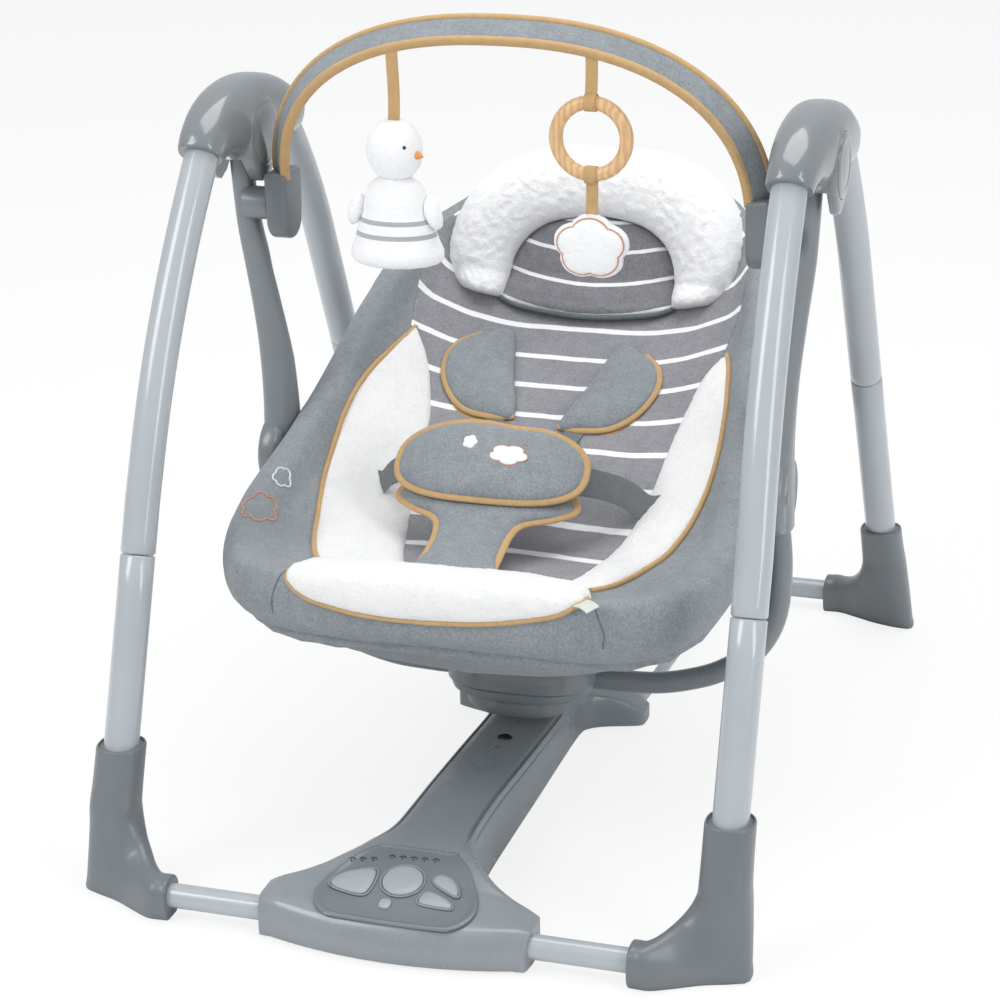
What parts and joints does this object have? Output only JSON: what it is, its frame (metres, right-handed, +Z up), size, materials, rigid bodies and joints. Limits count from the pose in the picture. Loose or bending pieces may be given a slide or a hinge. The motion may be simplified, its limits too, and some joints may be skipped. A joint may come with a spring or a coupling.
{
  "type": "portable baby swing",
  "caption": "Folding A-frame baby swing with a padded hanging seat, harness pads, a motor base with buttons and a toy bar with hanging soft toys.",
  "frame": {"origin": "on the floor, under the middle of the frame's bounding box", "axes": "+Z up, -Y towards the foot of the seat and the control panel, +X to the viewer's right when facing the control panel"},
  "size_m": [0.5736, 0.797, 0.6645],
  "materials": {
    "dark_plastic": "fine matt moulded dark grey plastic",
    "gloss_grey_plastic": "glossy mid grey moulded plastic",
    "light_tube": "smooth light grey paint on steel tube",
    "button_plastic": "satin light grey plastic keys",
    "heather_fabric": "grey melange woven cloth",
    "white_plush": "short soft white pile",
    "tan_webbing": "narrow tan woven tape",
    "beech_wood": "smooth light wood, oiled",
    "steel": "turned steel",
    "board_laminate": "green circuit board",
    "copper_winding": "lacquered copper winding"
  },
  "bodies": {
    "frame": {"front_foot_left": "dark_plastic", "front_foot_right": "dark_plastic", "front_leg_lower_left": "light_tube", "front_leg_lower_right": "light_tube", "front_leg_upper_left": "light_tube", "front_leg_upper_right": "light_tube", "front_bar": "light_tube", "hub_casing_left": "gloss_grey_plastic", "hub_casing_right": "gloss_grey_plastic", "arm_axle_left": "steel", "arm_axle_right": "steel", "rear_leg_pin_left": "steel", "rear_leg_pin_right": "steel", "base_housing": "dark_plastic", "base_cover": "dark_plastic", "battery_door": "dark_plastic", "circuit_board": "board_laminate", "drive_coil": "copper_winding", "control_panel": "dark_plastic", "brace_rod_left": "light_tube", "brace_rod_right": "light_tube"},
    "rear_frame": {"rear_leg_lower_left": "light_tube", "rear_leg_lower_right": "light_tube", "rear_leg_upper_left": "light_tube", "rear_leg_upper_right": "light_tube", "rear_foot_left": "dark_plastic", "rear_foot_right": "dark_plastic", "rear_bar": "light_tube"},
    "swing": {"swing_arm_left": "dark_plastic", "swing_arm_right": "dark_plastic", "lower_tube": "dark_plastic", "drive_cover_top": "dark_plastic", "drive_cover_bottom": "dark_plastic", "drive_magnet": "steel", "seat_frame": "light_tube", "seat_pad": "heather_fabric", "waist_pad": "heather_fabric", "crotch_pad": "heather_fabric"},
    "backrest": {"back_frame": "light_tube", "back_pad": "heather_fabric", "headrest": "white_plush", "shoulder_pad_left": "heather_fabric", "shoulder_pad_right": "heather_fabric"},
    "toy_bar": {"toy_bar": "heather_fabric", "toy_bar_end_left": "dark_plastic", "toy_bar_end_right": "dark_plastic"},
    "bird": {"bird_strap": "tan_webbing", "bird_body": "white_plush", "bird_head": "white_plush"},
    "ring": {"ring_strap": "tan_webbing", "wooden_ring": "beech_wood"},
    "puff": {"puff_strap": "tan_webbing", "cloud_puff": "white_plush"},
    "fold_button_left": {"fold_button_left": "gloss_grey_plastic"},
    "fold_button_right": {"fold_button_right": "gloss_grey_plastic"},
    "speed_button": {"speed_button": "button_plastic"},
    "timer_button": {"timer_button": "button_plastic"},
    "sound_button": {"sound_button": "button_plastic"},
    "volume_button": {"volume_button": "button_plastic"},
    "power_switch": {"power_switch": "button_plastic"}
  },
  "joints": [
    {"name": "fold_hinge", "type": "hinge", "parent": "frame", "child": "rear_frame", "pos_m": [0, 0.072, 0.553], "axis": [-1, 0, 0], "range_deg": [0, 36]},
    {"name": "swing_hinge", "type": "hinge", "parent": "frame", "child": "swing", "pos_m": [0, -0.018, 0.5505], "axis": [1, 0, 0], "range_deg": [-12, 12]},
    {"name": "recline_hinge", "type": "hinge", "parent": "swing", "child": "backrest", "pos_m": [0, -0.0125, 0.267], "axis": [1, 0, 0], "range_deg": [0, 15]},
    {"name": "toy_bar_hinge", "type": "hinge", "parent": "swing", "child": "toy_bar", "pos_m": [0, -0.022, 0.492], "axis": [1, 0, 0], "range_deg": [-15, 60]},
    {"name": "bird_hang", "type": "hinge", "parent": "toy_bar", "child": "bird", "pos_m": [-0.088, -0.068, 0.6356], "axis": [1, 0, 0], "range_deg": [-30, 30]},
    {"name": "ring_hang", "type": "hinge", "parent": "toy_bar", "child": "ring", "pos_m": [0.077, -0.068, 0.6381], "axis": [1, 0, 0], "range_deg": [-30, 30]},
    {"name": "puff_hang", "type": "hinge", "parent": "ring", "child": "puff", "pos_m": [0.077, -0.068, 0.544], "axis": [1, 0, 0], "range_deg": [-35, 35]},
    {"name": "fold_button_left_press", "type": "slide", "parent": "frame", "child": "fold_button_left", "axis": [1, 0, 0], "range_m": [0, 0.003], "stiffness_N_per_m": 400, "springref_m": -0.001},
    {"name": "fold_button_right_press", "type": "slide", "parent": "frame", "child": "fold_button_right", "axis": [-1, 0, 0], "range_m": [0, 0.003], "stiffness_N_per_m": 400, "springref_m": -0.001},
    {"name": "speed_button_press", "type": "slide", "parent": "frame", "child": "speed_button", "axis": [0, 0.262, -0.9651], "range_m": [0, 0.0012], "stiffness_N_per_m": 350, "springref_m": -0.0006},
    {"name": "timer_button_press", "type": "slide", "parent": "frame", "child": "timer_button", "axis": [0, 0.262, -0.9651], "range_m": [0, 0.0012], "stiffness_N_per_m": 350, "springref_m": -0.0006},
    {"name": "sound_button_press", "type": "slide", "parent": "frame", "child": "sound_button", "axis": [0, 0.262, -0.9651], "range_m": [0, 0.0012], "stiffness_N_per_m": 350, "springref_m": -0.0006},
    {"name": "volume_button_press", "type": "slide", "parent": "frame", "child": "volume_button", "axis": [0, 0.262, -0.9651], "range_m": [0, 0.0012], "stiffness_N_per_m": 350, "springref_m": -0.0006},
    {"name": "power_switch_slide", "type": "slide", "parent": "frame", "child": "power_switch", "axis": [1, 0, 0], "range_m": [0, 0.004]}
  ]
}
